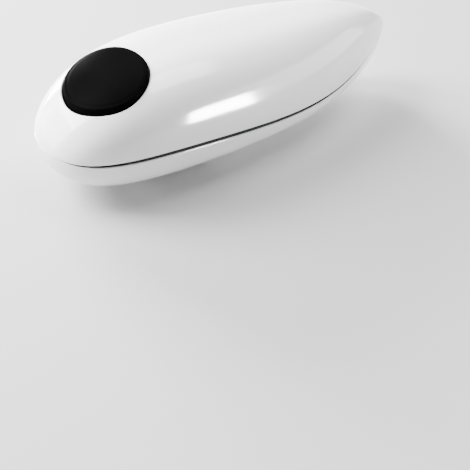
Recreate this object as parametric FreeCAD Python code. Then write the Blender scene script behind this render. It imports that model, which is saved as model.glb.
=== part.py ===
"""Battery can opener: a teardrop shell over a motor and gear train that turn a drive wheel beside a swinging cutter.

X runs from the nose to the tail, Y across, Z up. The drive wheel's lower face is at Z = 0.
"""
import FreeCAD, Part
import math
import os

V = FreeCAD.Vector
os.makedirs("parts", exist_ok=True)

# Shell
length = 196.0
width = 64.0
crown = 29.5             # shell height above its seam
keel = 17.5              # shell depth below its seam
tuck = 12.8              # how far the underside draws in from the seam
wall = 2.2
seam_gap = 1.9           # dark seam, near its widest
gasket_in = 0.5          # how far the seam strip lies inside the shell's face
wheel_drop = 7.0         # the drive wheel's reach below the shell
nose = -length / 2
seam_z = wheel_drop + keel
floor_z = wheel_drop + wall

# Button
button_x = nose + 27.3
button_l, button_w = 16.5, 17.6      # half sizes of the hole, along X and Y
button_slit = 0.4
button_rise = 1.4
button_travel = 2.5
cup_floor = seam_z + 7.0
stem_r = 3.0
stem_foot = 0.9          # how far the stem reaches below the cup
lever_gap = 0.25         # travel of the button before its stem meets the lever

# Gear train: module, pinion teeth, wheel teeth, bearing of the next axis in degrees
stage_out = (0.9, 10, 30, 20.0)
stage_mid = (0.7, 10, 36, -50.0)
stage_in = (0.5, 10, 50, 40.0)
gear_w = 2.8
gear_gap = 0.6
plate_t = 2.0
axle_r = 1.5
shaft_r = 3.0
running = 0.05           # radial clearance of a turning fit
seated = 0.02            # radial clearance of a fixed fit

# Head
plate_z = 5.5            # underside of the steel base plate
wheel_r = 6.2
rim_gap = 5.6            # open gap between drive wheel and cutter
throw = 2.75             # eccentricity of the cutter spindle
carrier_cd = 18.0
journal_r = 6.5
friction_r = 6.0
magnet_r = 7.0

# Power
motor_r = 10.05
motor_t = 15.1
cell_r = 7.25
cell_l = 50.5
cell_gap = 0.7


def along(a, b, k):
    return a + (b - a) * k


def rounding(s, power):
    """0 at both ends of the shell and 1 in the middle."""
    return (4 * s * (1 - s)) ** (power / 2) if 0 < s < 1 else 0.0


def plan(s):
    """Half width over the widest half width, s from nose to tail."""
    return rounding(s, 0.92) * (1.452 - 2.326 * s + 4.331 * s ** 2 - 3.071 * s ** 3)


def ridge(s):
    """Height of the crown line over its greatest height."""
    return rounding(s, 1.45) * (1.771 - 3.622 * s + 5.143 * s ** 2 - 1.968 * s ** 3)


def seam(s):
    """Height of the seam, which dips behind the middle and sweeps up to the tail."""
    u = 2 * s - 1
    return seam_z + 2.2 * (u * u - 1 / 3) + 9.9 * u * (u * u - 0.6)


def box(x0, x1, y0, y1, z0, z1):
    return Part.makeBox(x1 - x0, y1 - y0, z1 - z0, V(x0, y0, z0))


def rod(x, y, z0, z1, r):
    return Part.makeCylinder(r, z1 - z0, V(x, y, z0))


def fuse(shapes):
    return shapes[0].multiFuse(shapes[1:]).removeSplitter()


def save(node, shape):
    shape.exportStep("parts/" + node + ".step")


def dome(inset, sink=0.0, stations=37, points=21):
    """Shell form above the seam, its walls moved in by inset and its floor lowered by sink."""
    rows = []
    for i in range(stations):
        s = (1 - math.cos(math.pi * i / (stations - 1))) / 2
        drop = sink * rounding(s, 1.0)
        half, rise = plan(s) * (width / 2 - inset), ridge(s) * (crown - inset) + drop
        turns = [math.sin(math.pi * (j / (points - 1) - 0.5)) for j in range(points)]
        rows.append([V(along(nose + inset, -nose - inset, s), half * v,
                       seam(s) - drop + rise * max(0.0, 1 - abs(v) ** 3) ** 0.476) for v in turns])
    skin = Part.BSplineSurface()
    skin.interpolate(rows)
    face = skin.toShape()
    rims = [e for e in face.Edges if not e.Degenerated]
    shell = Part.makeShell([face, Part.makeRuledSurface(rims[0], rims[1])])
    shell.sewShape()
    return Part.Solid(shell)


def outline(inset, z, points=48):
    """Closed plan curve of the shell at one height."""
    ring = []
    for i in range(points):
        s = (1 - math.cos(2 * math.pi * i / points)) / 2
        side = 1 if 2 * i <= points else -1
        ring.append(V(along(nose + inset, -nose - inset, s), side * plan(s) * (width / 2 - inset), z))
    curve = Part.BSplineCurve()
    curve.interpolate(Points=ring, PeriodicFlag=True, Parameters=[float(i) for i in range(points + 1)])
    return Part.Wire([curve.toShape()])


def bowl(inset):
    """Shell form below the seam: a quarter ellipse drawn in all round to a flat underside."""
    rings = [outline(inset, seam_z + z) for z in (14.0, 9.0, 4.5, 0.0)]
    for degrees in (15, 30, 45, 60, 75, 90):
        a = math.radians(degrees)
        rings.append(outline(inset + (tuck - 0.36 * inset) * (1 - math.cos(a)),
                             seam_z - (keel - inset) * math.sin(a)))
    return Part.makeLoft(rings, True)


def above_seam(gap=0.0):
    """Everything above the seam curve, lowered by the gap, which closes at both ends and thins to the tail."""
    line = [V(along(nose, -nose, i / 24), -60,
              seam(i / 24) - gap * rounding(i / 24, 1.4) * (1.3 - 0.7 * i / 24)) for i in range(25)]
    curve = Part.BSplineCurve()
    curve.interpolate(line)
    a, b = line[0], line[-1]
    frame = [b, V(b.x + 20, -60, b.z), V(b.x + 20, -60, 99), V(a.x - 20, -60, 99), V(a.x - 20, -60, a.z), a]
    edges = [Part.makeLine(p, q) for p, q in zip(frame, frame[1:])]
    return Part.Face(Part.Wire([curve.toShape()] + edges)).extrude(V(0, 120, 0))


def plate(inset, x_end, z0, z1):
    """Flat plate with the shell's plan outline, cut off square at x_end."""
    return Part.Face(outline(inset, z0)).extrude(V(0, 0, z1 - z0)).common(box(-150, x_end, -60, 60, z0, z1))


def oval(grow, z0, z1):
    """Upright cylinder with the button hole's outline, larger by grow."""
    a, b = button_l + grow, button_w + grow
    ring = Part.Ellipse(V(button_x, b, z0), V(button_x + a, 0, z0), V(button_x, 0, z0))
    return Part.Face(Part.Wire([ring.toShape()])).extrude(V(0, 0, z1 - z0))


def polygon(points, z0, z1):
    ring = [V(x, y, z0) for x, y in points]
    return Part.Face(Part.makePolygon(ring + ring[:1])).extrude(V(0, 0, z1 - z0))


def screw(x, y, seat, reach, r, head_r, head_h):
    """Cross-headed screw; the shank runs from its seat to reach, the head lies on the other side."""
    way = 1 if reach > seat else -1
    shank = Part.makeCylinder(r, abs(reach - seat), V(x, y, seat), V(0, 0, way))
    head = Part.makeCylinder(head_r, head_h, V(x, y, seat), V(0, 0, -way))
    top = seat - way * head_h
    z0, z1 = sorted((top, top + way * head_h * 0.55))
    slots = [box(x - head_r * a, x + head_r * a, y - head_r * b, y + head_r * b, z0, z1)
             for a, b in ((0.62, 0.14), (0.14, 0.62))]
    return shank.fuse(head.cut(fuse(slots))).removeSplitter()


def csk_screw(x, y, z, reach, r, head_r):
    """Countersunk cross-headed screw, flush with the underside at z."""
    cone = Part.makeCone(head_r, r, head_r - r, V(x, y, z))
    slots = [box(x - head_r * a, x + head_r * a, y - head_r * b, y + head_r * b, z, z + 0.6)
             for a, b in ((0.6, 0.12), (0.12, 0.6))]
    return rod(x, y, z, reach, r).fuse(cone).cut(fuse(slots))


def coil(x, y, z0, z1, r, wire_r, turns):
    """Compression spring along Z, its wire ends inside z0 and z1."""
    height = z1 - z0 - 2 * wire_r
    helix = Part.makeHelix(height / turns, height, r)
    ring = Part.Wire([Part.makeCircle(wire_r, V(r, 0, 0), V(0, 1, 0))])
    spring = Part.Wire(helix).makePipeShell([ring], True, True)
    spring.translate(V(x, y, z0 + wire_r))
    return spring


def cable(points, r):
    """Round wire along straight runs with ball corners."""
    spots = [V(*p) for p in points]
    runs = [Part.makeCylinder(r, (q - p).Length, p, q - p) for p, q in zip(spots, spots[1:])]
    return fuse(runs + [Part.makeSphere(r, p) for p in spots[1:-1]])


def gear(centre, z0, z1, module, teeth, phase):
    """Spur gear with involute flanks, each tooth thinned for backlash."""
    x, y = centre
    pitch = module * teeth / 2
    base = pitch * math.cos(math.radians(20))
    root, tip = pitch - 1.25 * module, pitch + (0.85 if teeth > 20 else 0.95) * module
    inv = lambda r: math.tan(math.acos(min(1.0, base / r))) - math.acos(min(1.0, base / r))
    points = []
    for k in range(teeth):
        mid = phase + 2 * math.pi * k / teeth
        flank = [(r, math.pi / 2 / teeth - 0.1 * module / pitch + inv(pitch) - inv(max(r, base)))
                 for r in (root, max(root, base), along(base, tip, 0.5), tip)]
        points += [(x + r * math.cos(mid - h), y + r * math.sin(mid - h)) for r, h in flank]
        points += [(x + r * math.cos(mid + h), y + r * math.sin(mid + h)) for r, h in reversed(flank)]
    return polygon([p for p, q in zip(points, points[1:] + points[:1])
                    if math.dist(p, q) > 1e-4], z0, z1)


def next_axis(centre, stage):
    """Centre of the axis that meshes with this one."""
    module, small, large, bearing = stage
    a, cd = math.radians(bearing), module * (small + large) / 2
    return centre[0] + cd * math.cos(a), centre[1] + cd * math.sin(a)


def mesh_phase(stage, wheel_phase):
    """Phase of the pinion that puts its gaps on the wheel's teeth."""
    module, small, large, bearing = stage
    a = math.radians(bearing)
    past = (a - wheel_phase) * large / (2 * math.pi)
    return a + math.pi - (0.5 - past) * 2 * math.pi / small


# Positions that follow from the sizes above
drive = (nose + 50.0, 0.0)
second = next_axis(drive, stage_out)
first = next_axis(second, stage_mid)
motor = next_axis(first, stage_in)
carrier = (drive[0] - carrier_cd, 0.0)
spindle_x = carrier[0] - throw
cutter_r = drive[0] - wheel_r - rim_gap - spindle_x
base_z = floor_z + 1.2
base_top = base_z + plate_t
level = [base_top + gear_gap + i * (gear_w + gear_gap) for i in range(3)]
top_z = level[2] + gear_w + gear_gap
top_top = top_z + plate_t
motor_z = level[1]
bay_x = motor[0] + motor_t / 2 + 3.3
bay_end = bay_x + cell_l + 7.5
cell_y = cell_r + cell_gap / 2
cell_z = floor_z + 0.85 + cell_r
tray_top = cell_z + cell_r + 1.5
tray_half = cell_y + cell_r + 1.5
plate_end = drive[0] + 26.0
pillars = [(nose + 36.0, 15.5), (nose + 36.0, -15.5), (nose + 62.0, -16.8),
           (motor[0] - 5.3, 17.2), (motor[0] + 7.7, -15.5)]
plate_screws = [(nose + 21.5, 5.5), (nose + 21.5, -5.5), (drive[0] + 9.5, 12.0), (drive[0] + 9.5, -12.0)]
shell_screws = [(nose + 58.0, 23.6), (nose + 58.0, -23.6), (-nose - 26.0, 6.5), (-nose - 26.0, -6.5)]
magnet_x = drive[0] + 17.0
door = (bay_x + 3.0, bay_end - 3.0, 15.0)


def upper_housing():
    shell, core = dome(0).cut(dome(wall, 1.0)), dome(wall / 2)
    cup = oval(2.0, cup_floor, 90).common(core)
    bosses = [rod(x, y, seam_z - 5, 90, 3.2).common(core) for x, y in shell_screws]
    shell = fuse([shell, cup] + bosses)
    shell = shell.cut(oval(0, cup_floor + plate_t, 90))
    shell = shell.cut(rod(button_x, 0, 20, 60, stem_r + running))
    return shell.cut(fuse([rod(x, y, 0, seam_z + 13, 1.5 + seated) for x, y in shell_screws]))


def door_panel(gap):
    x0, x1, y = door
    return box(x0 - gap, x1 + gap, -y - gap, y + gap, 0, seam_z - 4)


def lower_housing():
    above, core = above_seam(gap=seam_gap), bowl(wall / 2)
    shell = bowl(0).cut(above).cut(bowl(wall))
    x0, x1, y = door
    bosses = [rod(x, y, 0, seam_z + 9, 4.2).common(core).cut(above) for x, y in shell_screws]
    pads = [rod(x, y, floor_z - 1, base_z, 3.2) for x, y in plate_screws]
    tray_post = rod(bay_end + 2.8, 0, floor_z - 1, cell_z - 3.2, 2.6)
    ledges = [box(x - 1.5, x + 1.5, -9, 9, floor_z - 0.8, floor_z + 0.6) for x in (x0, x1)]
    shell = fuse([shell] + bosses + pads + [tray_post])
    holes = [rod(x, y, 0, 90, 1.6) for x, y in shell_screws]
    holes += [rod(x, y, 0, 13, 3.0) for x, y in shell_screws]
    holes += [rod(x, y, 0, 20, 1.4) for x, y in plate_screws]
    holes += [rod(bay_end + 2.8, 0, floor_z + 1, 20, 1.0 + seated), door_panel(0.35),
              rod(drive[0], 0, 0, 20, 5 + seated), rod(carrier[0], 0, 0, 20, journal_r + 1.5 + seated)]
    lips = [ledge.cut(door_panel(0.35).common(box(-99, 99, -20, 20, 0, floor_z))) for ledge in ledges]
    return fuse([shell.cut(fuse(holes))] + lips)


def seam_gasket():
    band = dome(gasket_in, 6.0).cut(dome(wall, 8.0))
    return band.common(above_seam(gap=seam_gap)).cut(above_seam()).common(box(nose + 5, -nose - 5, -60, 60, 0, 90))


def battery_door():
    return bowl(0).cut(bowl(wall)).common(door_panel(0))


def button_cap():
    form = dome(0)
    inner = form.copy()
    form.translate(V(0, 0, button_rise))
    inner.translate(V(0, 0, button_rise - 2.0))
    cap = oval(-button_slit, cup_floor + 5.5, 90).common(form)
    rim = max(cap.Edges, key=lambda e: e.BoundBox.ZMax + e.Length)
    cap = cap.makeFillet(1.1, [rim])
    cap = cap.cut(oval(-button_slit - 1.8, 0, 90).common(inner))
    hub = rod(button_x, 0, cup_floor + 9.5, 90, 7.2).common(inner)
    return fuse([cap, hub, rod(button_x, 0, cup_floor - stem_foot, cup_floor + 9.6, stem_r)]).cut(
        rod(button_x, 0, cup_floor - 0.6, cup_floor - 0.05, 9).cut(rod(button_x, 0, 0, 90, 2.4)))


def button_clip():
    z0, z1 = cup_floor - 0.55, cup_floor - 0.05
    ring = rod(button_x, 0, z0, z1, 3.8).cut(rod(button_x, 0, z0, z1, 2.4 + seated))
    return ring.cut(box(button_x - 1.5, button_x + 1.5, 0, 9, z0, z1))


def base_plate():
    flat = plate(14.5, plate_end, plate_z, wheel_drop)
    holes = [rod(drive[0], 0, 0, 20, 5 + seated), rod(carrier[0], 0, 0, 20, journal_r + 1.5 + seated)]
    holes += [Part.makeCone(2.4 + seated, 1.27, 1.15, V(x, y, plate_z)) for x, y in plate_screws]
    holes += [rod(x, y, 0, 20, 1.27) for x, y in plate_screws]
    holes += [rod(drive[0] - 3.5, s * 10.5, 0, 20, 1.8 + seated) for s in (1, -1)]
    holes += [rod(magnet_x, s * (magnet_r + 3.7), 0, 20, 1.22) for s in (1, -1)]
    return flat.cut(fuse(holes))


def gearbox_base():
    flat = plate(10.5, bay_x - 0.1, base_z, base_top)
    posts = [rod(x, y, base_top, top_z, 2.2) for x, y in pillars]
    mx, my = motor
    posts += [rod(mx + x, my + y, base_top, motor_z, 1.5) for x, y in ((5.4, -7.0), (5.4, 7.0), (-5.2, 7.0))]
    posts.append(rod(carrier[0] - 9.9, 0, base_top, base_top + 3.0, 1.5))
    holes = [rod(x, y, base_top + 3, 90, 1.2 + seated) for x, y in pillars]
    holes += [rod(x, y, 0, 20, 1.25 + seated) for x, y in plate_screws]
    holes += [rod(x, y, 0, 20, 4.6) for x, y in shell_screws]
    holes += [rod(x, y, 0, 20, axle_r + seated) for x, y in (first, second)]
    holes += [rod(drive[0], 0, 0, 20, 5 + seated), rod(carrier[0], 0, 0, 20, journal_r + 1.5 + seated)]
    return fuse([flat] + posts).cut(fuse(holes))


def motor_form(grow):
    x, y = motor
    return rod(x, y, 0, 90, motor_r + grow).common(
        box(x - motor_t / 2 - grow, x + motor_t / 2 + grow, y - 20, y + 20, 0, 90))


def gearbox_top():
    flat = plate(10.5, bay_x - 2.7, top_z, top_top).cut(motor_form(0.15))
    x, y = motor
    flat = flat.cut(box(x + motor_t / 2 - 1, x + 20, y - 6.8, y + 6.8, 0, 90))
    window = box(button_x - 13.3, button_x + 1.4, -4.1, 4.1, 0, 90)
    holes = [rod(a, b, 0, 90, 1.2 + seated) for a, b in pillars]
    holes += [rod(a, b, 0, 90, 4.6) for a, b in shell_screws]
    holes += [rod(a, b, 0, 90, axle_r + seated) for a, b in (first, second)]
    holes += [rod(drive[0], 0, 0, 90, shaft_r + running), rod(carrier[0], 0, 0, 90, 1.8 + running)]
    holes += [rod(a, b, 0, 90, 1.0 + seated) for a, b in strap_screws_at()]
    holes += [rod(button_x - 3.5, s * 5.8, 0, 90, 0.8 + seated) for s in (1, -1)]
    return flat.cut(fuse([window] + holes))


def strap_screws_at():
    x, y = motor
    return [(x + 1.5, y - motor_r - 3.9), (x + 1.5, y + motor_r + 3.9)]


def motor_strap():
    x, y = motor[0] + 1.5, motor[1]
    leg, top = motor_r + 0.1, motor_z + 25.1
    hoop = box(x - 3, x + 3, y - leg - 0.8, y + leg + 0.8, top_top, top + 0.8)
    hoop = hoop.cut(box(x - 3, x + 3, y - leg, y + leg, 0, top))
    foot = box(x - 3, x + 3, y - leg - 6.2, y + leg + 6.2, top_top, top_top + 0.8)
    foot = foot.cut(box(x - 3, x + 3, y - leg, y + leg, 0, 90))
    return fuse([hoop, foot]).cut(fuse([rod(a, b, 0, 90, 1.05) for a, b in strap_screws_at()]))


def motor_can():
    x, y = motor
    can = motor_form(0).common(box(-99, 99, -99, 99, motor_z, motor_z + 20))
    can = can.cut(motor_form(-0.8).common(box(-99, 99, -99, 99, motor_z + 0.8, 90)))
    return can.fuse(rod(x, y, motor_z - 0.5, motor_z + 1.6, 3.0)).cut(rod(x, y, 0, 90, 1.0 + running))


def motor_endcap():
    x, y = motor
    cap = motor_form(-0.4).common(box(-99, 99, -99, 99, motor_z + 20, motor_z + 25.1))
    return cap.cut(rod(x, y, 0, motor_z + 24.1, 1.0 + running))


def motor_magnets():
    x, y = motor
    ring = rod(x, y, motor_z + 3, motor_z + 18, motor_r - 0.85).cut(rod(x, y, 0, 90, 6.9))
    arcs = [ring.common(box(x - 4.5, x + 4.5, y + a, y + b, 0, 90)) for a, b in ((0, 12), (-12, 0))]
    return Part.makeCompound(arcs)


def motor_terminals():
    x, y = motor
    z = motor_z + 25.1
    return Part.makeCompound([box(x - 5.9, x - 5.4, y + s * 4.5 - 1, y + s * 4.5 + 1, z, z + 3) for s in (1, -1)])


def armature():
    x, y = motor
    core = rod(x, y, motor_z + 4, motor_z + 17, 6.3).cut(rod(x, y, 0, 90, 1.0 + seated))
    slots = []
    for k in range(3):
        slot = box(2.4, 5.5, -1.6, 1.6, 0, 90).fuse(box(5.3, 8.0, -0.5, 0.5, 0, 90))
        slot.rotate(V(0, 0, 0), V(0, 0, 1), 120 * k)
        slot.translate(V(x, y, 0))
        slots.append(slot)
    return core.cut(fuse(slots))


def main_gear():
    body = gear(drive, level[2], level[2] + gear_w, stage_out[0], stage_out[2], 0.0)
    hub = rod(drive[0], 0, level[2] - 0.3, level[2] + gear_w + 0.4, 5.0)
    return fuse([body, hub]).cut(rod(drive[0], 0, 0, 90, shaft_r + seated))


def compound_gear(centre, low, coarse, fine, coarse_phase, bottom):
    """Wheel on a lower level and pinion on the next, turning on one fixed axle."""
    wheel = gear(centre, level[low], level[low] + gear_w, coarse[0], coarse[2], coarse_phase)
    pinion = gear(centre, level[low] + gear_w, level[low + 1] + gear_w, fine[0], fine[1], bottom)
    hub = rod(centre[0], centre[1], base_top + 0.1, top_z - 0.1, 2.35)
    return fuse([wheel, pinion, hub]).cut(rod(centre[0], centre[1], 0, 90, axle_r + running))


def drive_shaft():
    x = drive[0]
    shaft = fuse([rod(x, 0, 1.2, top_top - 0.2, shaft_r), rod(x, 0, 4.6, plate_z - 0.2, wheel_r + 1.0)])
    return shaft.cut(rod(x, 0, 0, 8, 1.2 + seated))


def drive_wheel():
    teeth = 26
    star = [(drive[0] + r * math.cos(a), r * math.sin(a)) for k in range(2 * teeth)
            for r, a in [(wheel_r - 0.75 * (k % 2), math.pi * k / teeth)]]
    body = polygon(star, 0, 4.6)
    return body.cut(rod(drive[0], 0, 0, 9, shaft_r + seated)).fuse(
        rod(drive[0], 0, 0, 1.2, shaft_r + 1).cut(rod(drive[0], 0, 0, 9, 2.6)))


def cutter_carrier():
    x = carrier[0]
    sweep = Part.makeCylinder(carrier_cd - friction_r - 0.3, 2.6, V(x, 0, base_top + 0.3), V(0, 0, 1), 186)
    sweep.rotate(V(x, 0, 0), V(0, 0, 1), -168)
    parts = [rod(x, 0, plate_z - 0.2, base_top + 2.9, journal_r), sweep,
             rod(x, 0, base_top + 2.8, top_top - 0.2, 1.8), rod(spindle_x, 0, 2.9, plate_z, 2.0)]
    return fuse(parts).cut(rod(spindle_x, 0, 0, 9.0, 1.2 + seated))


def cutter_wheel():
    r, z = cutter_r, plate_z - 0.3
    section = [(2.0 + running, z - 2.2), (4.6, z - 2.2), (r, z - 1.15), (r - 1.6, z - 0.7), (4.6, z - 0.6),
               (4.6, z), (2.0 + running, z)]
    ring = [V(a, 0, b) for a, b in section]
    wheel = Part.Face(Part.makePolygon(ring + ring[:1])).revolve(V(0, 0, 0), V(0, 0, 1), 360)
    wheel.translate(V(spindle_x, 0, 0))
    return wheel


def magnet_holder():
    y = magnet_r + 3.7
    ears = [rod(magnet_x, s * y, plate_z - 1.6, plate_z, 2.5) for s in (1, -1)]
    bar = box(magnet_x - 2.5, magnet_x + 2.5, -y, y, plate_z - 1.6, plate_z)
    cup = fuse([rod(magnet_x, 0, 2.2, plate_z, magnet_r + 1.5), bar] + ears)
    return cup.cut(fuse([rod(magnet_x, 0, 0, 4.0, magnet_r + seated)]
                        + [rod(magnet_x, s * y, 0, 9, 1.25) for s in (1, -1)]))


def guide_pins():
    return Part.makeCompound([rod(drive[0] - 3.5, s * 10.5, 1.6, wheel_drop, 1.8) for s in (1, -1)])


def switch_body():
    x = button_x
    body = box(x - 10.3, x + 1.3, -4.0, 4.0, top_z - 1.7, top_top + 0.4)
    ears = box(x - 6.5, x - 0.5, -7.6, 7.6, top_top, top_top + 0.4)
    cheeks = [box(x - 10.3, x - 7.9, s * 3.3 - 0.7, s * 3.3 + 0.7, top_top, top_top + 4.2) for s in (1, -1)]
    pin = Part.makeCylinder(0.5 + seated, 20, V(x - 9.1, -10, top_top + 3.0), V(0, 1, 0))
    holes = [rod(x - 3.5, s * 5.8, 0, 90, 0.85) for s in (1, -1)]
    return fuse([body, ears] + cheeks).cut(fuse([pin] + holes))


def switch_lever():
    x, z = button_x - 9.1, top_top + 3.0
    top = cup_floor - stem_foot - lever_gap
    arm = box(x, x + 9.6, -2.4, 2.4, top - 0.8, top)
    web = box(x - 1.0, x + 1.0, -2.4, 2.4, z, top)
    knuckle = Part.makeCylinder(1.0, 4.8, V(x, -2.4, z), V(0, 1, 0))
    return fuse([arm, web, knuckle]).cut(Part.makeCylinder(0.5 + running, 9, V(x, -4.5, z), V(0, 1, 0)))


def lever_pin():
    return Part.makeCylinder(0.5, 8.0, V(button_x - 9.1, -4.0, top_top + 3.0), V(0, 1, 0))


def switch_terminals():
    x = button_x - 10.3
    return Part.makeCompound([box(x - 2.2, x, s * 2.2 - 0.9, s * 2.2 + 0.9, top_z + 1.2, top_z + 1.6)
                              for s in (1, -1)])


def battery_tray():
    outer = box(bay_x, bay_end, -tray_half, tray_half, floor_z + 2.4, tray_top)
    outer = outer.common(bowl(wall + 0.05))
    ear = box(bay_end - 1, bay_end + 5.6, -3.4, 3.4, cell_z - 3.2, cell_z - 1.7)
    inner = box(bay_x + 1.2, bay_end - 1.2, -tray_half + 1.2, tray_half - 1.2, 0, tray_top - 1.2)
    holes = [Part.makeCylinder(0.9, 9, V(bay_x - 3, s * cell_y, cell_z + 3), V(1, 0, 0)) for s in (1, -1)]
    return fuse([outer, ear]).cut(fuse([inner, rod(bay_end + 2.8, 0, 0, 90, 1.05)] + holes))


def battery(side):
    """Cell lying along X with its raised pole facing the nose on the -Y side, the tail on the +Y side."""
    x0 = bay_x + 1.6 if side < 0 else bay_end - 1.6
    way = V(-side, 0, 0)
    nub = Part.makeCylinder(2.75, 1.2, V(x0, side * cell_y, cell_z), way)
    can = Part.makeCylinder(cell_r, cell_l - 1.0, V(x0 - side, side * cell_y, cell_z), way)
    return can.fuse(nub)


def contact_spring(x0, way, y):
    """Conical contact spring along X, from its plate at x0 to the cell."""
    reach = bay_end - bay_x - cell_l - 3.2
    helix = Part.makeHelix((reach - 1.0) / 3, reach - 1.0, 4.0, 8.0)
    ring = Part.Wire([Part.makeCircle(0.4, V(4.0, 0, 0), V(0, 1, 0))])
    spring = Part.Wire(helix).makePipeShell([ring], True, True)
    spring.rotate(V(0, 0, 0), V(0, 1, 0), 90 * way)
    spring.translate(V(x0 + way * 0.45, y, cell_z))
    return spring


def contact_plate(x0, y0, y1):
    return box(x0, x0 + 0.4, y0, y1, cell_z - 4.6, cell_z + 4.6)


def contact_negative():
    x0 = bay_x + 1.2
    return contact_plate(x0, cell_y - 4.6, cell_y + 4.6).fuse(contact_spring(x0 + 0.4, 1, cell_y))


def contact_bridge():
    x0 = bay_end - 1.6
    return contact_plate(x0, -cell_y - 4.6, cell_y + 4.6).fuse(contact_spring(x0, -1, -cell_y))


def wire_ends():
    """Polylines of the three wires."""
    contact = bay_x + 1.2
    rise = bay_x - 1.6
    term = button_x - 11.5
    mx, my = motor
    z = top_top + 2.6
    feed = [(contact, -cell_y, cell_z + 3), (rise, -cell_y, cell_z + 3), (rise, -cell_y, z), (rise, -14, z),
            (term + 26, -14, z), (term + 6, -8.5, z), (term, -7, z), (term, -2.2, z), (term, -2.2, top_z + 1.6)]
    link = [(term, 2.2, top_z + 1.6), (term, 2.2, z), (term, 7, z), (term + 6, 9, z), (mx - 11, 9, z), (mx - 11, my - 4.5, z),
            (mx - 11, my - 4.5, motor_z + 27), (mx - 5.9, my - 4.5, motor_z + 27)]
    back = [(contact, cell_y, cell_z + 3), (rise, cell_y, cell_z + 3), (rise, cell_y, motor_z + 29.5),
            (mx - 5.65, my + 4.5, motor_z + 29.5), (mx - 5.65, my + 4.5, motor_z + 28.1)]
    return feed, link, back


# Shell and button
save("upper_housing", upper_housing())
save("lower_housing", lower_housing())
save("seam_gasket", seam_gasket())
save("battery_door", battery_door())
save("button_cap", button_cap())
save("button_clip", button_clip())
save("button_spring", coil(button_x, 0, cup_floor + plate_t, cup_floor + 9.5, 5.2, 0.45, 3.5))
save("housing_screws", Part.makeCompound([screw(x, y, 13, seam_z + 11, 1.5, 2.7, 1.8) for x, y in shell_screws]))

# Head under the nose
save("base_plate", base_plate())
save("plate_screws", Part.makeCompound([csk_screw(x, y, plate_z, base_top - 0.1, 1.25, 2.4)
                                        for x, y in plate_screws]))
save("guide_pins", guide_pins())
save("magnet_holder", magnet_holder())
save("magnet", rod(magnet_x, 0, 1.2, 4.0, magnet_r))
save("magnet_screws", Part.makeCompound([screw(magnet_x, s * (magnet_r + 3.7), plate_z - 1.6, wheel_drop, 1.2, 1.9, 1.3)
                                         for s in (1, -1)]))
save("drive_bush", rod(drive[0], 0, plate_z, base_top, 5.0).cut(rod(drive[0], 0, 0, 90, shaft_r + running)))
save("carrier_bush", rod(carrier[0], 0, plate_z, base_top, journal_r + 1.5).cut(
    rod(carrier[0], 0, 0, 90, journal_r + running)))
save("drive_wheel", drive_wheel())
save("wheel_screw", screw(drive[0], 0, 1.2, 7.5, 1.2, 2.4, 0.9))
save("cutter_carrier", cutter_carrier())
save("cutter_wheel", cutter_wheel())
save("cutter_screw", screw(spindle_x, 0, 2.9, 8.6, 1.2, 3.4, 1.0))

# Gear train
save("gearbox_base", gearbox_base())
save("gearbox_top", gearbox_top())
save("gearbox_screws", Part.makeCompound([screw(x, y, top_top, base_top + 3.2, 1.2, 2.4, 1.4) for x, y in pillars]))
save("gear_axles", Part.makeCompound([rod(x, y, base_z, top_top, axle_r) for x, y in (first, second)]))
save("main_gear", main_gear())
save("drive_shaft", drive_shaft())
save("friction_ring", rod(drive[0], 0, base_top + 0.3, base_top + 2.9, friction_r).cut(
    rod(drive[0], 0, 0, 90, shaft_r + seated)))
save("second_gear", compound_gear(second, 1, stage_mid, stage_out, 0.0, mesh_phase(stage_out, 0.0)))
save("first_gear", compound_gear(first, 0, stage_in, stage_mid, 0.0, mesh_phase(stage_mid, 0.0)))

# Motor
save("motor_pinion", gear(motor, level[0], level[0] + gear_w, stage_in[0], stage_in[1], mesh_phase(stage_in, 0.0)).cut(
    rod(motor[0], motor[1], 0, 90, 1.0 + seated)))
save("motor_shaft", rod(motor[0], motor[1], level[0], motor_z + 24, 1.0))
save("motor_armature", armature())
save("motor_can", motor_can())
save("motor_endcap", motor_endcap())
save("motor_magnets", motor_magnets())
save("motor_terminals", motor_terminals())
save("motor_strap", motor_strap())
save("strap_screws", Part.makeCompound([screw(x, y, top_top + 0.8, top_z, 1.0, 1.9, 1.2)
                                        for x, y in strap_screws_at()]))

# Switch and power
save("switch_body", switch_body())
save("switch_lever", switch_lever())
save("lever_pin", lever_pin())
save("switch_terminals", switch_terminals())
save("switch_screws", Part.makeCompound([screw(button_x - 3.5, s * 5.8, top_top + 0.4, top_z, 0.8, 1.5, 0.9)
                                         for s in (1, -1)]))
save("battery_tray", battery_tray())
save("tray_screw", screw(bay_end + 2.8, 0, cell_z - 1.7, floor_z + 1.5, 1.0, 2.0, 1.3))
save("battery_left", battery(-1))
save("battery_right", battery(1))
save("contact_positive", contact_plate(bay_x + 1.2, -cell_y - 4.6, -cell_y + 4.6))
save("contact_negative", contact_negative())
save("contact_bridge", contact_bridge())
for node, path in zip(("wire_feed", "wire_link", "wire_return"), wire_ends()):
    save(node, cable(path, 0.6))
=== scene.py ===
"""A battery can opener: a glossy white teardrop shell with a black press button on its nose, its seam, and under the
nose a steel base plate with a serrated drive wheel, a cutter on a swinging carrier and a magnet.

X runs from the nose to the tail, Y across, Z up, in metres, with the drive wheel's lower face at Z = 0.
"""
import bmesh
import bpy
import math
import numpy as np
from mathutils import Matrix, Vector


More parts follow.
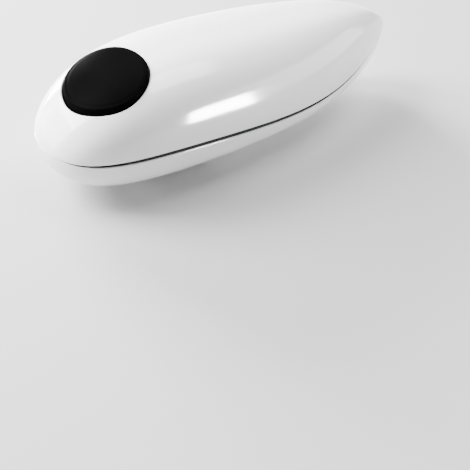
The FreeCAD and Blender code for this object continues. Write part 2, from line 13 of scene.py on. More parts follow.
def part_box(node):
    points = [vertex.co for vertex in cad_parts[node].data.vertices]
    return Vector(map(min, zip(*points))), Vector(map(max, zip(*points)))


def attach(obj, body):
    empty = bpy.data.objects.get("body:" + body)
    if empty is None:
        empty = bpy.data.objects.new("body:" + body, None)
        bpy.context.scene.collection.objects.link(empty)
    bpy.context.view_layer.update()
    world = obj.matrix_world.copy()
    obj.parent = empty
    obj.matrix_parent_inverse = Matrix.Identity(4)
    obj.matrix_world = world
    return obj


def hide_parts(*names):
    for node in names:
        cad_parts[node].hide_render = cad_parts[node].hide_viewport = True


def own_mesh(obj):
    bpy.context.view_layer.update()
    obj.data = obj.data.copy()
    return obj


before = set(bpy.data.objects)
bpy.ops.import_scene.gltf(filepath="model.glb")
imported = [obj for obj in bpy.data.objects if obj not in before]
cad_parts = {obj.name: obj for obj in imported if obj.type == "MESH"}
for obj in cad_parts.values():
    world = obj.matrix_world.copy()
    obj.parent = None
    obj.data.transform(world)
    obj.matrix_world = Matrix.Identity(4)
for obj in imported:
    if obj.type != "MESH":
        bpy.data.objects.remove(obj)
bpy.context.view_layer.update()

# Upper shell. Injection-moulded glossy white ABS, one piece with the oval well that the button slides in and
# four screw posts. It closes on the lower shell along a curved seam, and the screws come up from below.
length, width, wall = 0.196, 0.064, 0.0022
crown, keel, tuck = 0.0295, 0.0175, 0.0128
nose, seam_mean = -length / 2, 0.0245
button_x, button_l, button_w = nose + 0.0273, 0.0165, 0.0176
cup_floor, cup_wall, stem_bore = seam_mean + 0.007, 0.002, 0.00305
post_r, post_bore = 0.0032, 0.00152
shell_screws = [(-0.040, 0.0236), (-0.040, -0.0236), (0.072, 0.0065), (0.072, -0.0065)]


def rounding(s, power):
    """0 at the nose and the tail, 1 in the middle: 4s(1 - s) to half the power."""
    return np.clip(4 * s * (1 - s), 0, None) ** (power / 2)


def half_width(s, inset=0.0):
    """Half width of the plan: a rounded base times a cubic that swells at the nose and thins to the tail."""
    return rounding(s, 0.92) * (1.452 - 2.326 * s + 4.331 * s ** 2 - 3.071 * s ** 3) * (width / 2 - inset)


def ridge(s, inset=0.0):
    """Height of the crown line above the seam: a rounded base times a cubic."""
    return rounding(s, 1.45) * (1.771 - 3.622 * s + 5.143 * s ** 2 - 1.968 * s ** 3) * (crown - inset)


def seam(s):
    """Height of the seam: a shallow dip behind the middle and a sweep up to the tail."""
    u = 2 * s - 1
    return seam_mean + 0.0022 * (u * u - 1 / 3) + 0.0099 * u * (u * u - 0.6)


def plan_line(inset, columns):
    """Plan outline as x and y, evenly turned from the nose round by the +Y side to the tail and back."""
    turn = 2 * np.pi * np.arange(columns) / columns
    s = (1 - np.cos(turn)) / 2
    return nose + inset + s * (length - 2 * inset), np.sign(np.sin(turn)) * half_width(s, inset)


def dome_height(x, y, inset=0.0):
    """Height over a plan point: the seam plus the ridge times a superellipse across, 1 - |y/w| cubed, to the 0.476."""
    s = np.clip((x - nose - inset) / (length - 2 * inset), 1e-9, 1 - 1e-9)
    across = np.clip(np.abs(y) / np.maximum(half_width(s, inset), 1e-9), 0, 1)
    return seam(s) + ridge(s, inset) * (1 - across ** 3) ** 0.476


def oval(grow, heading):
    """Point of the button's oval, grown all round, in each heading from its centre."""
    a, b = button_l + grow, button_w + grow
    reach = 1 / np.hypot(np.cos(heading) / a, np.sin(heading) / b)
    return button_x + reach * np.cos(heading), reach * np.sin(heading)


def level_ring(x, y, z):
    """Points of a ring from its plan, with one height for all or a height for each."""
    return np.column_stack([x, y, np.broadcast_to(z, np.shape(x))])


def tube_mesh(name, rings, closed):
    """Mesh of quads between rings of equal length, with rings joined end to start if closed. Doubles are merged."""
    points = np.concatenate(rings)
    rows, columns = len(rings), len(rings[0])
    i = np.arange(rows if closed else rows - 1)[:, None]
    j = np.arange(columns)[None, :]
    a, b = i * columns + j, i * columns + (j + 1) % columns
    c, d = ((i + 1) % rows) * columns + (j + 1) % columns, ((i + 1) % rows) * columns + j
    quads = np.stack([a, b, c, d], -1).reshape(-1, 4)
    mesh = bpy.data.meshes.new(name)
    mesh.from_pydata(points.tolist(), [], quads.tolist())
    return sewn(mesh)


def smoothed(mesh, crease=38):
    """Smooth shading, with the edges sharp that turn by more than the crease, in degrees."""
    mesh.polygons.foreach_set("use_smooth", [True] * len(mesh.polygons))
    mesh.set_sharp_from_angle(angle=math.radians(crease))
    return mesh


def sewn(mesh):
    """Doubles merged, faces turned outwards, smooth shading with creases at the moulded edges."""
    work = bmesh.new()
    work.from_mesh(mesh)
    bmesh.ops.remove_doubles(work, verts=work.verts, dist=1e-6)
    bmesh.ops.dissolve_degenerate(work, edges=work.edges, dist=1e-7)
    bmesh.ops.recalc_face_normals(work, faces=work.faces)
    work.to_mesh(mesh)
    work.free()
    return smoothed(mesh)


def place(name, mesh, body, slot, *nodes):
    """A piece at the origin that rides on the body and stands for the nodes; the slot is not used."""
    piece = bpy.data.objects.new(name, mesh)
    bpy.context.scene.collection.objects.link(piece)
    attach(piece, body)
    if nodes:
        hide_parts(*nodes)
    return piece


def dome_rings(inset, edge_x, edge_y, rows, columns):
    """Rings from an inner edge out to the plan outline, closer together at both, lifted to the dome."""
    out_x, out_y = plan_line(inset, columns)
    rings = []
    for g in np.sin(np.pi / 2 * np.linspace(0, 1, rows) ** 1.4):
        x, y = edge_x + (out_x - edge_x) * g, edge_y + (out_y - edge_y) * g
        rings.append(level_ring(x, y, dome_height(x, y, inset)))
    return rings


columns = 320
out_x, out_y = plan_line(0, columns)
heading = np.arctan2(out_y, out_x - button_x)
lip, foot = 0.0007, 0.00035
well_x, well_y = oval(0, heading)
rim_z = dome_height(*oval(lip, heading)) - lip
well_z = cup_floor + cup_wall
well = [level_ring(well_x, well_y, well_z + (rim_z - well_z) * k) for k in (0, 0.5, 0.9, 1)]
round_over = []
for a in np.radians([18, 36, 54, 72]):
    x, y = oval(lip * (1 - np.cos(a)), heading)
    round_over.append(level_ring(x, y, rim_z + lip * np.sin(a)))
skin = dome_rings(0, *oval(lip, heading), 120, columns)
s_line = np.clip((out_x - nose) / length, 0, 1)
skin[-1][:, 2] = seam(s_line)
for ring in skin:
    ring[:, 2] = np.maximum(ring[:, 2], seam(np.clip((ring[:, 0] - nose) / length, 0, 1)) + foot)
for a in np.radians([22, 45, 68, 90]):
    x, y = plan_line(foot * (1 - np.cos(a)), columns)
    skin.append(level_ring(x, y, seam(s_line) + foot * (1 - np.sin(a))))
in_x, in_y = plan_line(wall, columns)
cup_x, cup_y = oval(cup_wall, heading)
lining = dome_rings(wall, cup_x, cup_y, 40, columns)[::-1]
lining[0][:, 2] = seam(s_line)
bore_x, bore_y = button_x + stem_bore * np.cos(heading), stem_bore * np.sin(heading)
cup = [level_ring(cup_x, cup_y, cup_floor), level_ring(bore_x, bore_y, cup_floor), level_ring(bore_x, bore_y, well_z)]


def join(name, meshes):
    """One mesh of several closed ones laid side by side."""
    work = bmesh.new()
    for mesh in meshes:
        work.from_mesh(mesh)
    whole = bpy.data.meshes.new(name)
    work.to_mesh(whole)
    work.free()
    return smoothed(whole)


def circle(x, y, radius, z, columns=48):
    """Level circle round a centre, evenly turned."""
    turn = 2 * np.pi * np.arange(columns) / columns
    return level_ring(x + radius * np.cos(turn), y + radius * np.sin(turn), z)


def post(x, y):
    """Screw post: a tube from the seam up into the shell wall, its top ring following the inside of the dome."""
    top_outer, top_bore = circle(x, y, post_r, 0), circle(x, y, post_bore, 0)
    for ring in (top_outer, top_bore):
        ring[:, 2] = dome_height(ring[:, 0], ring[:, 1], wall / 2)
    foot_z = seam((x - nose) / length) + 0.0002
    return tube_mesh("post", [circle(x, y, post_r, foot_z), top_outer, top_bore, circle(x, y, post_bore, foot_z)], True)


upper_mesh = join("upper_shell", [tube_mesh("skin", well + round_over + skin + lining + cup, True)]
                  + [post(x, y) for x, y in shell_screws])
upper_shell = place("upper_shell", upper_mesh, "housing", "shell_white", "upper_housing")


def finish_of(name):
    """An empty node finish: its tree, its shader and the piece's own coordinates."""
    finish = bpy.data.materials.new(name)
    finish.use_nodes = True
    tree = finish.node_tree
    return finish, tree, tree.nodes["Principled BSDF"], tree.nodes.new("ShaderNodeTexCoord").outputs["Object"]


def noise_of(tree, where, scale, detail=3.0, stretch=None):
    """Noise over the piece, stretched along an axis by a mapping where brushing or drawing runs that way."""
    noise = tree.nodes.new("ShaderNodeTexNoise")
    noise.inputs["Scale"].default_value = scale
    noise.inputs["Detail"].default_value = detail
    if stretch:
        mapping = tree.nodes.new("ShaderNodeMapping")
        mapping.inputs["Scale"].default_value = stretch
        tree.links.new(where, mapping.inputs["Vector"])
        where = mapping.outputs["Vector"]
    tree.links.new(where, noise.inputs["Vector"])
    return noise.outputs["Fac"]


def spread(tree, value, low, high):
    """A number that runs from low to high as the noise runs over its usual third to two thirds."""
    span = tree.nodes.new("ShaderNodeMapRange")
    span.inputs["From Min"].default_value = 0.3
    span.inputs["From Max"].default_value = 0.7
    span.inputs["To Min"].default_value = low
    span.inputs["To Max"].default_value = high
    tree.links.new(value, span.inputs["Value"])
    return span.outputs["Result"]


def shades(tree, value, dark, light):
    """A colour between a dark and a light one, over the noise's usual third to two thirds."""
    ramp = tree.nodes.new("ShaderNodeValToRGB")
    ramp.color_ramp.elements[0].position, ramp.color_ramp.elements[1].position = 0.3, 0.7
    ramp.color_ramp.elements[0].color, ramp.color_ramp.elements[1].color = (*dark, 1), (*light, 1)
    tree.links.new(value, ramp.inputs["Fac"])
    return ramp.outputs["Color"]


def raised(tree, shader, value, strength, depth):
    """Bump of the given depth in metres, from the noise."""
    bump = tree.nodes.new("ShaderNodeBump")
    bump.inputs["Strength"].default_value = strength
    bump.inputs["Distance"].default_value = depth
    tree.links.new(value, bump.inputs["Height"])
    tree.links.new(bump.outputs["Normal"], shader.inputs["Normal"])


def moulded(name, base, roughness, grain=900, depth=0.02, spread_of=0.03, gloss=0.5):
    """Moulded plastic: slow mottling of colour and gloss, and a fine orange-peel or spark-eroded grain."""
    finish, tree, shader, where = finish_of(name)
    cloud = noise_of(tree, where, 45)
    dark = [c * (1 - spread_of) for c in base]
    tree.links.new(shades(tree, cloud, dark, base), shader.inputs["Base Color"])
    tree.links.new(spread(tree, cloud, roughness * 0.85, roughness * 1.2), shader.inputs["Roughness"])
    raised(tree, shader, noise_of(tree, where, grain, 2), depth, 0.0002)
    shader.inputs["IOR"].default_value = 1.5
    shader.inputs["Specular IOR Level"].default_value = gloss
    return finish


shell_finish = moulded("shell_gloss_white", (0.86, 0.86, 0.865), 0.12, spread_of=0.015)
upper_shell.data.materials.append(shell_finish)


def dress(finish, *nodes):
    """A node of the frame takes the finish on all its material slots."""
    for node in nodes:
        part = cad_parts[node]
        if not part.data.materials:
            part.data.materials.append(finish)
        for held in part.material_slots:
            held.material = finish


# Seam strip. A flat near-black band in the gap between the two shells, a little inside their faces, that paints the
# shadow deep in the gap as a dark line (painted shade).
# The gap closes at the nose and thins to the tail, and the shell screws press the band tight.
seam_gap, strip_in = 0.0019, 0.0005


def gap_at(s):
    """Height of the gap: rounded to nothing at both ends, and tapering towards the tail."""
    return seam_gap * rounding(s, 1.05) * (1.25 - 0.65 * s)


strip_rings = []
for inset, lift in ((strip_in, 0), (strip_in, 0.5), (strip_in, 1), (wall, 1), (wall, 0)):
    x, y = plan_line(inset, columns)
    s = np.clip((x - nose) / length, 0, 1)
    strip_rings.append(level_ring(x, y, seam(s) - gap_at(s) * (1 - lift)))
seam_shade_strip = place("seam_shade_strip", tube_mesh("seam_shade_strip", strip_rings, True), "housing", "gasket_black", "seam_gasket")
# Near-black finish of the strip: painted shade, standing in for the shadow deep in the seam gap.
seam_shade_strip.data.materials.append(moulded("seam_shade_black", (0.0045, 0.0045, 0.0047), 0.7, 2200, 0.2, 0.25, gloss=0.05))

# Lower shell and battery door. The same glossy white ABS, drawn in all round to a flat underside. The door lies
# flush in it with a narrow gap all round, has five grip grooves, and unclips downwards.
shell_round, door_gap = 0.0004, 0.00035


def bowl_rings(inset, top, rows, columns):
    """Rings down a quarter ellipse from the rim to the flat underside, where the outline has drawn in by the tuck."""
    depth, draw = keel - inset, tuck - 0.36 * inset
    first = np.arcsin(np.clip((seam_mean - top) / depth, -1, 1))
    rings = []
    for u in np.linspace(0, 1, rows):
        q = first + (np.pi / 2 - first) * u
        x, y = plan_line(inset + draw * (1 - np.cos(np.maximum(q, 0))), columns)
        rings.append(level_ring(x, y, seam_mean - depth * np.sin(q)))
    return rings


def flat_rings(pulls, z, columns):
    """Rings of the plan outline drawn in step by step towards the middle, all at the given height."""
    return [level_ring(*plan_line(pull, columns), z) for pull in pulls]


def bowl_mesh(name, inset, rows):
    """Closed solid of the bowl drawn in by the inset, flat on top, for what is cut or kept inside it."""
    flat = seam(s_line) - gap_at(s_line)
    side = bowl_rings(inset, flat, rows, columns)
    base = flat_rings((0.024, 0.032), seam_mean - keel + inset, columns)
    top = flat_rings((0.016, 0.032), flat, columns)
    return tube_mesh(name, top[::-1] + side + base, False)


def cut_by(mesh, others, operation):
    """The mesh after the other closed meshes are taken from it, added to it or kept in common with it, one by one."""
    body = bpy.data.objects.new("work", mesh)
    bpy.context.scene.collection.objects.link(body)
    tools = []
    for other in others:
        tool = bpy.data.objects.new("tool", other)
        bpy.context.scene.collection.objects.link(tool)
        step = body.modifiers.new("step", "BOOLEAN")
        step.operation, step.solver, step.object = operation, "EXACT", tool
        tools.append(tool)
    ready = body.evaluated_get(bpy.context.evaluated_depsgraph_get())
    result = bpy.data.meshes.new_from_object(ready)
    for tool in tools + [body]:
        bpy.data.objects.remove(tool)
    return result


def rod(x, y, low, high, radius, columns=48):
    """Closed round bar, upright, between two heights."""
    rings = [circle(x, y, r, z, columns) for r, z in ((1e-7, low), (radius, low), (radius, high), (1e-7, high))]
    return tube_mesh("rod", rings, False)


def block(x0, x1, y0, y1, z0, z1):
    """Closed box between two corners."""
    x, y, z = (np.array(v) for v in ([x0, x1], [y0, y1], [z0, z1]))
    points = np.array([(a, b, c) for a in x for b in y for c in z])
    quads = [(0, 1, 3, 2), (4, 6, 7, 5), (0, 4, 5, 1), (2, 3, 7, 6), (0, 2, 6, 4), (1, 5, 7, 3)]
    mesh = bpy.data.meshes.new("block")
    mesh.from_pydata(points.tolist(), [], quads)
    return sewn(mesh)


rim_top = seam(s_line) - gap_at(s_line)
outer = bowl_rings(0, rim_top - shell_round, 30, columns)
inner = bowl_rings(wall, rim_top, 16, columns)
rim = []
for a in np.radians([90, 60, 30]):
    x, y = plan_line(shell_round * (1 - np.cos(a)), columns)
    rim.append(level_ring(x, y, rim_top - shell_round * (1 - np.sin(a))))
flat_out = flat_rings((0.018, 0.024, 0.029, 0.032), seam_mean - keel, columns)
flat_in = flat_rings((0.019, 0.025, 0.032), seam_mean - keel + wall, columns)
bowl = tube_mesh("bowl", flat_in[::-1] + inner[::-1] + rim + outer + flat_out, False)

door_low, door_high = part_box("battery_door")
below, door_top = -0.001, seam_mean - 0.004
bush_boxes = [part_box("drive_bush"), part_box("carrier_bush")]
bush_holes = [rod((low[0] + high[0]) / 2, (low[1] + high[1]) / 2, 0, 0.02, (high[0] - low[0]) / 2 + 2e-5)
              for low, high in bush_boxes]
lower_posts = [cut_by(rod(x, y, 0.004, 0.0335, 0.0042), [bowl_mesh("core", wall / 2, 24)], "INTERSECT")
               for x, y in shell_screws]
head_r, shank_r, plate_screw_r = 0.003, 0.0016, 0.0014
plate_screws = [(-0.0765, 0.0055), (-0.0765, -0.0055), (-0.0385, 0.012), (-0.0385, -0.012)]
holes = [block(door_low[0] - door_gap, door_high[0] + door_gap, door_low[1] - door_gap, door_high[1] + door_gap,
               below, door_top)]
holes += [rod(x, y, below, 0.013, head_r) for x, y in shell_screws]
holes += [rod(x, y, below, 0.045, shank_r) for x, y in shell_screws]
holes += [rod(x, y, below, 0.02, plate_screw_r) for x, y in plate_screws]
lower_mesh = cut_by(cut_by(bowl.copy(), lower_posts, "UNION"), holes + bush_holes, "DIFFERENCE")
lower_shell = place("lower_shell", sewn(lower_mesh), "housing", "shell_white", "lower_housing")
lower_shell.data.materials.clear()
lower_shell.data.materials.append(shell_finish)

grip_x, pitch, groove_wide, half_grip, groove_top = door_low[0] + 0.0045, 0.0014, 0.0006, 0.007, 0.00745
grooves = [block(grip_x + pitch * k, grip_x + pitch * k + groove_wide, -half_grip, half_grip, 0.006, groove_top)
           for k in range(5)]
panel = block(door_low[0], door_high[0], door_low[1], door_high[1], below, door_top)
door_mesh = cut_by(cut_by(bowl, [panel], "INTERSECT"), grooves, "DIFFERENCE")
battery_lid = place("battery_lid", sewn(door_mesh), "door", "shell_white", "battery_door")
battery_lid.data.materials.clear()
battery_lid.data.materials.append(shell_finish)


# Housing screws. Four zinc-plated pan-head steel screws, sunk in the lower shell, that pull the two shells
# together. The smaller screws inside are the same kind and share their plating.
def worked_metal(name, base, roughness, brushing=(1, 1, 1), grain=700, depth=0.05, spread_of=0.12):
    """Bare or plated metal: fine marks drawn out along the way it was worked, and uneven dulling."""
    finish, tree, shader, where = finish_of(name)
    marks = noise_of(tree, where, grain, 4, brushing)
    cloud = noise_of(tree, where, 120)
    tree.links.new(shades(tree, marks, [c * (1 - spread_of) for c in base], base), shader.inputs["Base Color"])
    tree.links.new(spread(tree, cloud, roughness * 0.8, roughness * 1.3), shader.inputs["Roughness"])
    raised(tree, shader, marks, depth, 0.00005)
    shader.inputs["Metallic"].default_value = 1.0
    return finish


def softened(node, body, slot, finish, width):
    """The node's own shape with its sharp edges broken by a small round."""
    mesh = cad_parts[node].data.copy()
    mesh.materials.clear()
    work = bmesh.new()
    work.from_mesh(mesh)
    bmesh.ops.remove_doubles(work, verts=work.verts, dist=2e-6)
    bmesh.ops.dissolve_limit(work, angle_limit=math.radians(1), verts=work.verts, edges=work.edges)
    bmesh.ops.recalc_face_normals(work, faces=work.faces)
    work.to_mesh(mesh)
    work.free()
    mesh.materials.append(finish)
    piece = place(node + "_finished", smoothed(mesh, 40), body, slot, node)
    edge = piece.modifiers.new("edge", "BEVEL")
    edge.width, edge.segments, edge.limit_method, edge.angle_limit = width, 2, "ANGLE", math.radians(50)
    edge.harden_normals = True
    return piece


zinc_plate = worked_metal("screw_zinc", (0.62, 0.63, 0.65), 0.28, spread_of=0.2)
dress(zinc_plate, "housing_screws", "plate_screws", "magnet_screws", "gearbox_screws", "strap_screws", "switch_screws",
      "tray_screw")

# Button. A moulded satin black ABS cap, slightly dished, with a rounded rim and a hollow stem under its middle.
# It stands a little proud of the shell and slides straight down in the well.
button_rise, slit, rim_round, skirt, cap_wall = 0.0014, 0.0004, 0.0011, 0.0018, 0.0022
cap_columns, cap_foot, dish_depth = 160, cup_floor + 0.0055, 0.0006
around = 2 * np.pi * np.arange(cap_columns) / cap_columns
cap_rings = []
for g in np.append(np.linspace(0, 0.9, 24), np.linspace(0.92, 1, 8)):
    x, y = oval(-slit - rim_round, around)
    x, y = button_x + (x - button_x) * g, y * g
    dish = dish_depth * np.clip(1 - (g / 0.93) ** 4, 0, None)
    cap_rings.append(level_ring(x, y, dome_height(x, y) + button_rise - dish))
edge = dome_height(*oval(-slit - rim_round, around)) + button_rise
for a in np.radians([18, 36, 54, 72, 90]):
    x, y = oval(-slit - rim_round * (1 - np.sin(a)), around)
    cap_rings.append(level_ring(x, y, edge - rim_round * (1 - np.cos(a))))
for inset in (0, skirt):
    x, y = oval(-slit - inset, around)
    cap_rings.append(level_ring(x, y, cap_foot))
for g in (1, 0.7, 0.4, 0):
    inner_x, inner_y = button_x + (x - button_x) * g, y * g
    cap_rings.append(level_ring(inner_x, inner_y, dome_height(inner_x, inner_y) + button_rise - cap_wall))
stem = tube_mesh("stem", [circle(button_x, 0, r, z) for r, z in (
    (1e-7, 0.0306), (0.0028, 0.0306), (0.003, 0.0308), (0.003, 0.03095), (0.0024, 0.03095), (0.0024, 0.03145),
    (0.003, 0.03145), (0.003, 0.0408), (0.0072, 0.0412), (0.0072, 0.0455), (1e-7, 0.0455))], False)
cap_mesh = join("press_button", [tube_mesh("cap", cap_rings, False), stem])
button = place("press_button", cap_mesh, "button", "button_black", "button_cap")
button.data.materials.append(moulded("button_satin_black", (0.0022, 0.0022, 0.0023), 0.36, 2600, 0.1, 0.3, gloss=0.001))

# Button clip and spring. A split ring of sprung steel in the stem's groove keeps the button in its cup, and a
# coil spring wound from round steel wire stands in the cup round the stem and pushes the cap back up.
spring_wire = worked_metal("spring_wire", (0.5, 0.5, 0.51), 0.25, grain=1500)
dress(spring_wire, "button_clip")
spring_foot, spring_head, press_travel = well_z, cup_floor + 0.0095, 0.0025


def coil_line(name, centre_x, low, high, coil_r, wire_r, turns):
    """Round wire on a helix: the centre turns evenly about the upright axis while it rises evenly from low to high.
    Each ring is a circle in the plane of the outward direction and the one square to it and to the wire."""
    sides = 14
    t = np.linspace(0, 2 * np.pi * turns, round(44 * turns))
    rise = (high - low - 2 * wire_r) / t[-1]
    outward = np.stack([np.cos(t), np.sin(t), 0 * t], -1)
    along = np.stack([-coil_r * np.sin(t), coil_r * np.cos(t), rise + 0 * t], -1)
    across = np.cross(along, outward) / np.linalg.norm(along, axis=1)[:, None]
    line = coil_r * outward + np.stack([centre_x + 0 * t, 0 * t, low + wire_r + rise * t], -1)
    u = np.linspace(0, 2 * np.pi, sides, endpoint=False)[None, :, None]
    rings = line[:, None] + wire_r * (np.cos(u) * outward[:, None] + np.sin(u) * across[:, None])
    start, end = (np.repeat(line[k][None], sides, 0) for k in (0, -1))
    return tube_mesh(name, [start, *rings, end], False)


spring_mesh = coil_line("return_spring", button_x, spring_foot, spring_head, 0.0052, 0.00045, 3.5)
return_spring = place("return_spring", spring_mesh, "housing", "spring_steel", "button_spring")
return_spring.data.materials.append(spring_wire)
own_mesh(return_spring)

# Base plate and guide pins. Stamped stainless steel plate, screwed under the nose, with two riveted pins that
# keep the can's rim square to the wheel. Its brushing runs along the tool.
brushed_steel = worked_metal("plate_brushed", (0.56, 0.56, 0.57), 0.27, (0.06, 1.6, 1), 900, 0.12)
turned_steel = worked_metal("pin_turned", (0.55, 0.55, 0.56), 0.22, (0.3, 0.3, 3), 1200, 0.08)
softened("base_plate", "housing", "plate_steel", brushed_steel, 0.00018)
dress(turned_steel, "guide_pins", "lever_pin", "gear_axles", "drive_shaft", "motor_shaft")

# Drive wheel. A sintered and hardened steel wheel whose serrations grip the can's rim. A screw holds it on the
# drive shaft, which turns in a sintered bronze bush pressed in the lower shell.
sintered = worked_metal("wheel_sintered", (0.36, 0.355, 0.35), 0.42, grain=2600, depth=0.2, spread_of=0.3)
bronze = worked_metal("bush_bronze", (0.62, 0.42, 0.2), 0.38, grain=2200, depth=0.15, spread_of=0.25)
softened("drive_wheel", "drive", "wheel_steel", sintered, 0.00006)
dress(zinc_plate, "wheel_screw", "cutter_screw")
dress(bronze, "drive_bush", "carrier_bush")

# Cutter and its carrier. A disc of hardened steel, ground to an edge, that rolls round the can outside the rim. It
# turns on a screw in an eccentric steel carrier, which swings to bring it to the can.
ground = worked_metal("cutter_ground", (0.66, 0.66, 0.67), 0.16, (1, 1, 4), 1600, 0.06)
dress(ground, "cutter_wheel")
dress(turned_steel, "cutter_carrier")

# Magnet and holder. A nickel-plated disc magnet that holds the can's lid, pressed in a moulded black cup that two
# screws hold under the base plate.
nickel = worked_metal("magnet_nickel", (0.66, 0.63, 0.58), 0.14, grain=1400, depth=0.03)
dark_plastic = moulded("holder_black", (0.016, 0.016, 0.017), 0.45, 2600, 0.15, 0.25)
softened("magnet", "housing", "magnet_nickel", nickel, 0.0002)
softened("magnet_holder", "housing", "holder_black", dark_plastic, 0.0002)

# Gearbox. Two grey acetal plates, the lower with moulded pillars, hold three gears of natural acetal, and a rubber
# ring on the drive shaft drags the cutter's carrier round.
grey_acetal = moulded("gearbox_grey", (0.2, 0.205, 0.21), 0.42, 1800, 0.08, 0.1)
white_acetal = moulded("gear_natural", (0.74, 0.73, 0.69), 0.35, 1600, 0.05, 0.05)
grip_rubber = moulded("ring_rubber", (0.03, 0.029, 0.028), 0.7, 2400, 0.25, 0.3)
dress(grey_acetal, "gearbox_base", "gearbox_top")
dress(white_acetal, "main_gear", "second_gear", "first_gear")
dress(grip_rubber, "friction_ring")

# Motor. A small can motor: zinc-plated steel can and strap, white end cap, two ferrite magnets and a wound
# armature with copper wire, with a brass pinion pressed on its shaft.
brass = worked_metal("pinion_brass", (0.78, 0.57, 0.25), 0.24, (1, 1, 3), 1500, 0.08)
can_plate = worked_metal("motor_plate", (0.58, 0.59, 0.6), 0.3, (1, 1, 0.08), 800, 0.08)
ferrite = worked_metal("motor_ferrite", (0.09, 0.088, 0.085), 0.6, grain=2400, depth=0.2, spread_of=0.3)
winding = worked_metal("winding_copper", (0.72, 0.32, 0.16), 0.3, (1, 1, 6), 1400, 0.3, 0.35)
dress(brass, "motor_pinion")
dress(can_plate, "motor_can", "motor_strap")
dress(moulded("endcap_white", (0.7, 0.69, 0.66), 0.4, 1800, 0.06, 0.05), "motor_endcap")
dress(ferrite, "motor_magnets")
dress(winding, "motor_armature", "motor_terminals")

# Switch. A moulded black snap switch under the button, screwed to the gearbox, with a red lever on a steel pin
# that the stem presses, and two brass tags.
dress(dark_plastic, "switch_body")
dress(moulded("lever_red", (0.55, 0.035, 0.025), 0.35, 1600, 0.06, 0.15), "switch_lever")
dress(brass, "switch_terminals")

# Battery bay. A white moulded tray over the door, held by one screw, with two cells in printed shrink foil and
# contacts of nickel-plated steel, two of them wound springs.
contact_plate = worked_metal("contact_nickel", (0.64, 0.62, 0.58), 0.2, grain=1400, depth=0.05)
dress(moulded("tray_white", (0.66, 0.66, 0.65), 0.4, 1700, 0.08, 0.04), "battery_tray")
dress(contact_plate, "contact_positive", "contact_negative", "contact_bridge")


def foil(name, low_x, plain, band):
    """Printed shrink foil: a plain body, and a second colour from the given X on."""
    finish, tree, shader, where = finish_of(name)
    axes = tree.nodes.new("ShaderNodeSeparateXYZ")
    tree.links.new(where, axes.inputs["Vector"])
    edge = tree.nodes.new("ShaderNodeMath")
    edge.operation = "GREATER_THAN"
    edge.inputs[1].default_value = low_x
    tree.links.new(axes.outputs["X"], edge.inputs[0])
    two = tree.nodes.new("ShaderNodeMix")
    two.data_type = "RGBA"
    two.inputs["A"].default_value, two.inputs["B"].default_value = (*plain, 1), (*band, 1)
    tree.links.new(edge.outputs["Value"], two.inputs["Factor"])
    tree.links.new(two.outputs["Result"], shader.inputs["Base Color"])
    tree.links.new(spread(tree, noise_of(tree, where, 160), 0.2, 0.34), shader.inputs["Roughness"])
    raised(tree, shader, noise_of(tree, where, 900, 2), 0.05, 0.0001)
    shader.inputs["Metallic"].default_value = 0.6
    return finish


cell_foil = foil("cell_foil", 0.040, (0.02, 0.02, 0.024), (0.5, 0.3, 0.08))
dress(cell_foil, "battery_left", "battery_right")

# Wires. Stranded copper hook-up wire in PVC, soldered to the tags: a red feed from the cells to the switch, a blue
# link from the switch to the motor and a black return to the cells.
dress(moulded("wire_red", (0.5, 0.02, 0.02), 0.4, 1500, 0.1, 0.15), "wire_feed")
dress(moulded("wire_black", (0.02, 0.02, 0.02), 0.4, 1500, 0.1, 0.2), "wire_return")
dress(moulded("wire_blue", (0.03, 0.08, 0.4), 0.4, 1500, 0.1, 0.15), "wire_link")

# Studio. A plain pale floor, large soft boxes behind, above and beyond the tail, a small one whose reflection lies
# on the near side, and the camera over the nose.
floor_mesh = bpy.data.meshes.new("floor")
floor_mesh.from_pydata([(-3, -3, 0), (3, -3, 0), (3, 3, 0), (-3, 3, 0)], [], [(0, 1, 2, 3)])
floor = bpy.data.objects.new("floor", floor_mesh)
bpy.context.scene.collection.objects.link(floor)
paper, tree, shader, where = finish_of("floor_paper")
tree.links.new(shades(tree, noise_of(tree, where, 6), (0.415, 0.415, 0.415), (0.425, 0.425, 0.425)),
               shader.inputs["Base Color"])
shader.inputs["Roughness"].default_value = 0.8
floor_mesh.materials.append(paper)

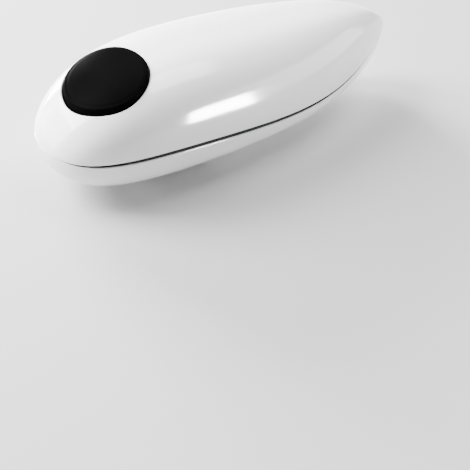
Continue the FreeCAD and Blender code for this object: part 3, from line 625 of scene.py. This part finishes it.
world = bpy.data.worlds.new("studio")
bpy.context.scene.world = world
world.use_nodes = True
world.node_tree.nodes["Background"].inputs["Color"].default_value = (1, 1, 1, 1)
world.node_tree.nodes["Background"].inputs["Strength"].default_value = 0.18


def soft_box(name, heading, height, distance, size_x, size_y, power, centre=(0, 0, 0.03)):
    """A soft box at a heading from +X and a height above the level, in degrees, turned to the centre."""
    turn, rise = math.radians(heading), math.radians(height)
    away = Vector((math.cos(turn) * math.cos(rise), math.sin(turn) * math.cos(rise), math.sin(rise)))
    lamp = bpy.data.lights.new(name, "AREA")
    lamp.shape, lamp.size, lamp.size_y, lamp.energy = "RECTANGLE", size_x, size_y, power
    holder = bpy.data.objects.new(name, lamp)
    holder.location = Vector(centre) + away * distance
    holder.rotation_euler = (-away).to_track_quat("-Z", "Y").to_euler()
    holder.visible_camera = False
    bpy.context.scene.collection.objects.link(holder)
    return holder


soft_box("window_back", 90, 12, 0.9, 0.5, 0.5, 80)
soft_box("window_corner", 135, 40, 0.9, 0.5, 0.5, 30)
soft_box("low_corner", 135, 12, 0.9, 0.5, 0.5, 14)
soft_box("overhead", 0, 70, 0.9, 0.5, 0.5, 10.5)
soft_box("tail_fill", -32, 8, 0.9, 0.8, 0.4, 6.5)
side_panel = soft_box("side_panel", -57, 1.5, 0.3, 0.105, 0.085, 7.5, (-0.035, -0.029, 0.036))
side_panel.visible_diffuse = False

azimuth, elevation, roll = math.radians(-48.04), math.radians(38.81), math.radians(10.6)
target, reach = Vector((-0.01647, -0.03363, -0.03272)), 0.500
back = Vector((math.sin(azimuth) * math.cos(elevation), -math.cos(azimuth) * math.cos(elevation), math.sin(elevation)))
level_right = Vector((math.cos(azimuth), math.sin(azimuth), 0))
level_up = back.cross(level_right)
right = level_right * math.cos(roll) + level_up * math.sin(roll)
up = level_up * math.cos(roll) - level_right * math.sin(roll)
view = bpy.data.cameras.new("camera")
view.angle = math.radians(24)
view.clip_start = 0.01
camera = bpy.data.objects.new("camera", view)
camera.matrix_world = Matrix.Translation(target + back * reach) @ Matrix((right, up, back)).transposed().to_4x4()
bpy.context.scene.collection.objects.link(camera)
bpy.context.scene.camera = camera
